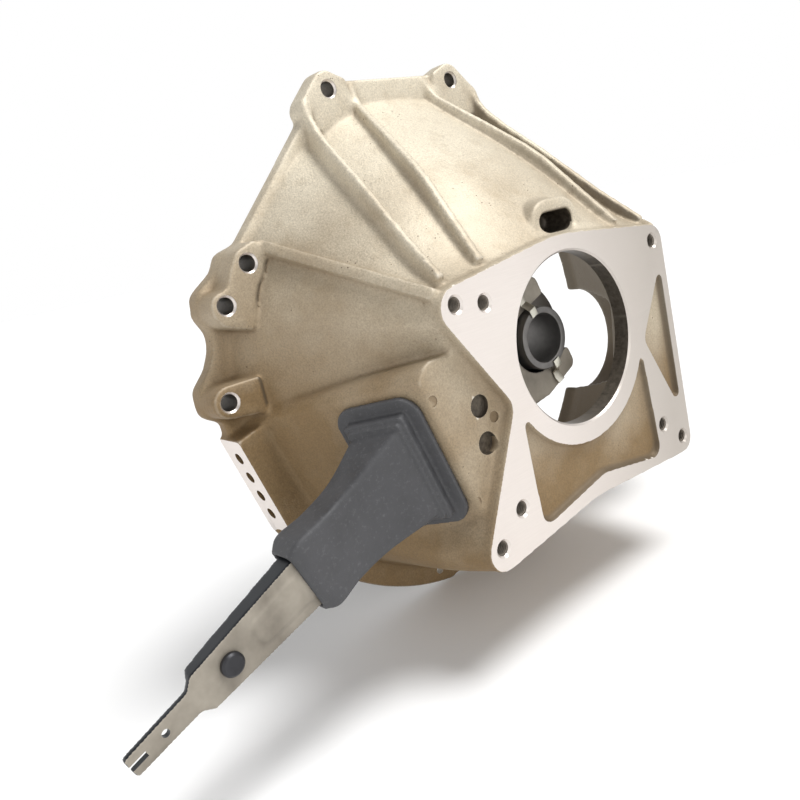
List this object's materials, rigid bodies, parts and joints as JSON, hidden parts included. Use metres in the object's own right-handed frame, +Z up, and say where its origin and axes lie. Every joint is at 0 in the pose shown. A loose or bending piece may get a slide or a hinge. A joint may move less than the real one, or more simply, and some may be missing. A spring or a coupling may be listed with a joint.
{
  "type": "clutch bellhousing",
  "caption": "Cast bellhousing of a manual gearbox with its rubber-booted clutch fork and sliding release bearing.",
  "frame": {"origin": "crankshaft axis at the engine face", "axes": "+X from the engine to the gearbox, +Z up, +Y across the housing, away from the fork"},
  "size_m": [0.1587, 0.6014, 0.4307],
  "materials": {
    "cast_aluminium": "sand cast, with machined faces",
    "boot_rubber": "matte moulded rubber",
    "fork_steel": "pressed steel, grey with dark flanges",
    "dark_steel": "blackened",
    "plated_steel": "zinc plated",
    "hub_iron": "machined, oiled",
    "bearing_steel": "ground",
    "cage_brass": "plain"
  },
  "bodies": {
    "housing": {"bellhousing": "cast_aluminium", "fork_boot": "boot_rubber", "fork_pivot_bracket": "plated_steel", "bracket_bolt_upper": "dark_steel", "bracket_bolt_lower": "dark_steel", "bracket_washer_upper": "plated_steel", "bracket_washer_lower": "plated_steel"},
    "fork": {"clutch_fork": "fork_steel", "fork_spring": "plated_steel", "pushrod_cup": "dark_steel", "fork_rivet_upper": "plated_steel", "fork_rivet_lower": "plated_steel"},
    "release_bearing": {"bearing_hub": "hub_iron", "bearing_inner_ring": "bearing_steel", "hub_clip_upper": "plated_steel", "hub_clip_lower": "plated_steel"},
    "thrust_ring": {"bearing_outer_ring": "bearing_steel", "bearing_shield": "dark_steel"},
    "ball_set": {"ball_cage": "cage_brass", "bearing_ball_01": "bearing_steel", "bearing_ball_02": "bearing_steel", "bearing_ball_03": "bearing_steel", "bearing_ball_04": "bearing_steel", "bearing_ball_05": "bearing_steel", "bearing_ball_06": "bearing_steel", "bearing_ball_07": "bearing_steel", "bearing_ball_08": "bearing_steel", "bearing_ball_09": "bearing_steel", "bearing_ball_10": "bearing_steel", "bearing_ball_11": "bearing_steel", "bearing_ball_12": "bearing_steel"}
  },
  "joints": [
    {"name": "fork_pivot", "type": "hinge", "parent": "housing", "child": "fork", "pos_m": [0.1233, -0.10029, -0.0373], "axis": [0, -0.3486, 0.9373], "range_deg": [-2, 5.5], "deforming": ["fork_boot"]},
    {"name": "bearing_slide", "type": "slide", "parent": "housing", "child": "release_bearing", "axis": [-1, 0, 0], "range_m": [-0.0038, 0.0104]},
    {"name": "thrust_ring_spin", "type": "hinge", "parent": "release_bearing", "child": "thrust_ring", "pos_m": [0.088, 0, 0], "axis": [1, 0, 0], "continuous": true},
    {"name": "cage_spin", "type": "hinge", "parent": "release_bearing", "child": "ball_set", "pos_m": [0.088, 0, 0], "axis": [1, 0, 0], "continuous": true}
  ],
  "couplings": [
    {"joint": "bearing_slide", "follows": "fork_pivot", "m_per_rad": 0.107},
    {"joint": "cage_spin", "follows": "thrust_ring_spin", "ratio": 0.5645}
  ]
}
